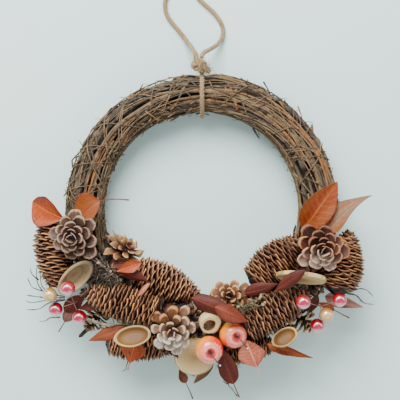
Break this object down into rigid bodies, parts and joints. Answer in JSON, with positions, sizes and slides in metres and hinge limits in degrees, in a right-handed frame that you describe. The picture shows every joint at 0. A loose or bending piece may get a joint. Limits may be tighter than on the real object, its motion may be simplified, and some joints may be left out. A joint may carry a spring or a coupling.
{
  "type": "harvest door wreath",
  "caption": "Round twig wreath with cones, dry leaves, wood slices, apples and berry picks on its lower half, and a jute loop to hang it by.",
  "frame": {"origin": "centre of the object's outline without its hanging loop, on the surface that its back rests on", "axes": "+Z out of the wreath's front, +Y towards the top of the wreath where the twine is tied, +X to the viewer's right"},
  "size_m": [0.3621, 0.459, 0.1117],
  "materials": {
    "twig_bark": "rough grey-brown bark",
    "jute_twine": "hairy twisted jute",
    "spruce_cone": "thin dry scales with pale tips",
    "pine_cone": "thick dry scales with greyed tips",
    "pale_wood": "sawn end grain with pale bark",
    "apple_skin": "glossy orange to red lacquer",
    "iron_wire": "dark annealed wire",
    "red_pearl": "pearly crimson",
    "gold_pearl": "pearly gold",
    "dry_leaf": "dry leathery leaf, rust to ochre"
  },
  "bodies": {
    "root": {"apple_back": "apple_skin", "apple_back_wire": "iron_wire", "apple_front": "apple_skin", "apple_front_wire": "iron_wire", "back_rod_inner": "twig_bark", "back_rod_outer": "twig_bark", "leaf_bottom_mossy": "dry_leaf", "leaf_bottom_pink": "dry_leaf", "leaf_bottom_small": "dry_leaf", "leaf_centre": "dry_leaf", "leaf_lower_left": "dry_leaf", "leaf_right_orange": "dry_leaf", "leaf_right_tip": "dry_leaf", "leaf_top_left_inner": "dry_leaf", "leaf_top_left_outer": "dry_leaf", "leaf_top_right_inner": "dry_leaf", "leaf_top_right_outer": "dry_leaf", "pine_cone_centre": "pine_cone", "pine_cone_left": "pine_cone", "pine_cone_right": "pine_cone", "pine_cone_small_centre": "pine_cone", "pine_cone_small_left": "pine_cone", "pine_cone_under_left": "pine_cone", "pine_cone_under_right": "pine_cone", "spruce_cone_bottom_left": "spruce_cone", "spruce_cone_bottom_right": "spruce_cone", "spruce_cone_centre_left": "spruce_cone", "spruce_cone_inner_left": "spruce_cone", "spruce_cone_inner_right": "spruce_cone", "spruce_cone_lower_right": "spruce_cone", "spruce_cone_outer_left": "spruce_cone", "spruce_cone_outer_right": "spruce_cone", "twig_core": "twig_bark", "twig_strand_01": "twig_bark", "twig_strand_02": "twig_bark", "twig_strand_03": "twig_bark", "twig_strand_04": "twig_bark", "twig_strand_05": "twig_bark", "twig_strand_06": "twig_bark", "twig_strand_07": "twig_bark", "twig_strand_08": "twig_bark", "twine_band": "jute_twine", "twine_knot": "jute_twine", "twine_loop": "jute_twine", "wood_curl": "pale_wood", "wood_dish_centre": "pale_wood", "wood_dish_left": "pale_wood", "wood_dish_right": "pale_wood", "wood_slice_bottom": "pale_wood", "wood_slice_right": "pale_wood"},
    "berry_pick_left": {"berry_gold_left": "gold_pearl", "berry_red_left_lower": "red_pearl", "berry_red_left_outer": "red_pearl", "berry_red_left_upper": "red_pearl", "berry_wires_left": "iron_wire"},
    "berry_pick_right": {"berry_gold_right": "gold_pearl", "berry_red_right_inner": "red_pearl", "berry_red_right_lower": "red_pearl", "berry_red_right_outer": "red_pearl", "berry_wires_right": "iron_wire"}
  },
  "joints": [
    {"name": "pick_left_nod", "type": "hinge", "parent": "root", "child": "berry_pick_left", "pos_m": [-0.12115, -0.07152, 0.03432], "axis": [-0.6018, 0.7986, 0], "range_deg": [-6, 4], "stiffness_Nm_per_rad": 0.2},
    {"name": "pick_right_nod", "type": "hinge", "parent": "root", "child": "berry_pick_right", "pos_m": [0.11601, -0.07773, 0.03432], "axis": [-0.6428, -0.766, 0], "range_deg": [-6, 4], "stiffness_Nm_per_rad": 0.2}
  ]
}
